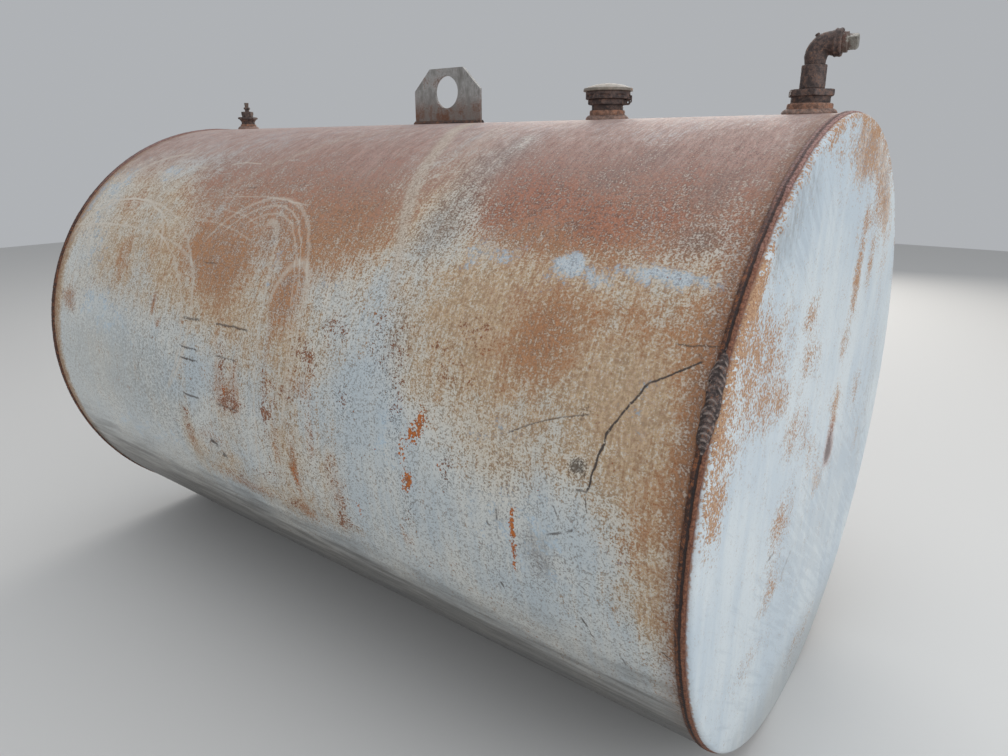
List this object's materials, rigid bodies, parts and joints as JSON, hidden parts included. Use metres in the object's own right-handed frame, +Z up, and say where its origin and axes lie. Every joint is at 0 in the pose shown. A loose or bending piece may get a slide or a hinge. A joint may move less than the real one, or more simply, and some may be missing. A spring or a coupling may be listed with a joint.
{
  "type": "horizontal pressure tank",
  "caption": "Horizontal cylindrical steel tank with flat flanged ends, a lifting lug, a vent and threaded pipe fittings along its top, lying on its belly.",
  "frame": {"origin": "on the ground under the middle of the tank's length, straight below its axis", "axes": "+X along the tank's axis towards the near head, which carries the riser beside it; +Z up"},
  "size_m": [1.954, 1.2246, 1.354],
  "materials": {
    "shell_paint": "chalky pale blue-grey paint over plate, rusting through",
    "weld_paint": "paint over a weld bead, worn to rust on its crown",
    "head_paint": "pale blue-white paint with rust streaks",
    "rusty_weld": "bare weld metal, rusted brown",
    "collar_steel": "bare forged steel, rusted orange-brown",
    "fitting_iron": "dark rusted malleable iron",
    "lid_alloy": "dull weathered cast alloy",
    "lug_steel": "grey weathered steel, rusty at its foot",
    "plug_steel": "weathered forged steel"
  },
  "bodies": {
    "root": {"shell": "shell_paint", "long_weld": "weld_paint", "head_far": "head_paint", "head_near": "head_paint", "head_weld_far": "rusty_weld", "head_weld_near": "rusty_weld", "repair_bead": "rusty_weld", "lifting_lug": "lug_steel", "lug_weld_front": "rusty_weld", "lug_weld_back": "rusty_weld", "vent_collar": "collar_steel", "vent_collar_weld": "rusty_weld", "vent_neck": "fitting_iron", "vent_hexagon": "fitting_iron", "vent_body": "fitting_iron", "vent_lid": "lid_alloy", "riser_collar": "collar_steel", "riser_collar_weld": "rusty_weld", "riser_bushing": "fitting_iron", "riser_nipple": "fitting_iron", "riser_coupling": "fitting_iron", "riser_elbow": "fitting_iron", "outlet_plug": "plug_steel", "far_collar": "collar_steel", "far_collar_weld": "rusty_weld", "far_bushing": "fitting_iron", "far_reducer": "fitting_iron", "far_nipple": "fitting_iron", "far_coupling": "fitting_iron", "far_plug": "plug_steel"}
  },
  "joints": []
}
